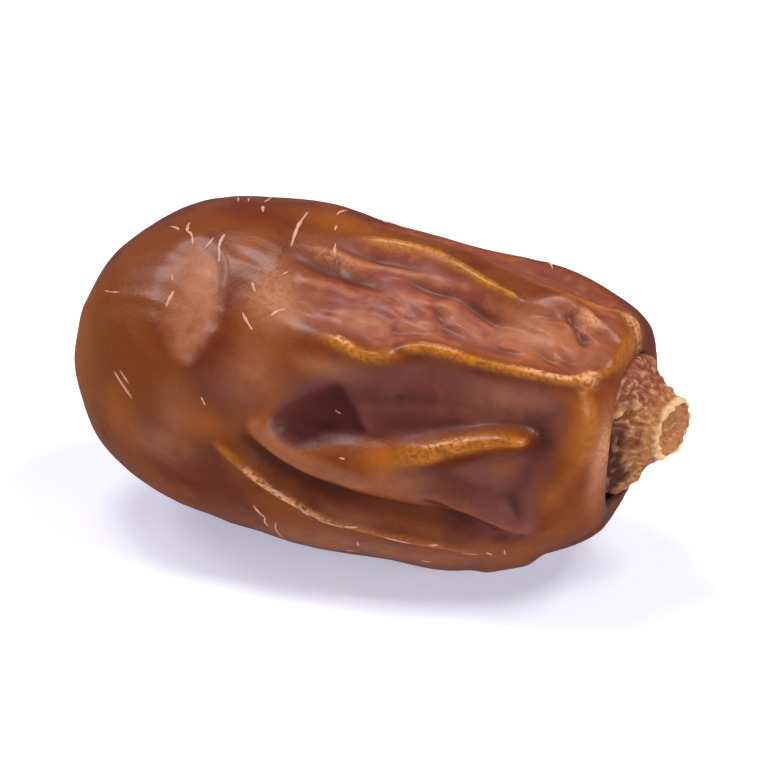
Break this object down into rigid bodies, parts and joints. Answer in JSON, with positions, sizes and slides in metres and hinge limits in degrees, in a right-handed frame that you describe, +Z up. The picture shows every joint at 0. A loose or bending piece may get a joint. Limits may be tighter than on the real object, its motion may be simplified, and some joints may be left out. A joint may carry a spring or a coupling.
{
  "type": "dried zahedi date",
  "caption": "Whole semi-dry date lying on its side: plump wrinkled oblong fruit with sunken panels and folds, and a dry calyx cap with a broken stalk at its stem end.",
  "frame": {"origin": "on the surface that the date rests on, under the middle of its length", "axes": "+X along the fruit to its stem end, +Z up"},
  "size_m": [0.0399, 0.0214, 0.0211],
  "materials": {
    "skin": "waxy dried date skin, golden brown on its folds and purple brown in its hollows",
    "calyx": "dry fibrous straw-coloured calyx and stalk"
  },
  "bodies": {
    "root": {"fruit": "skin", "calyx": "calyx"}
  },
  "joints": []
}
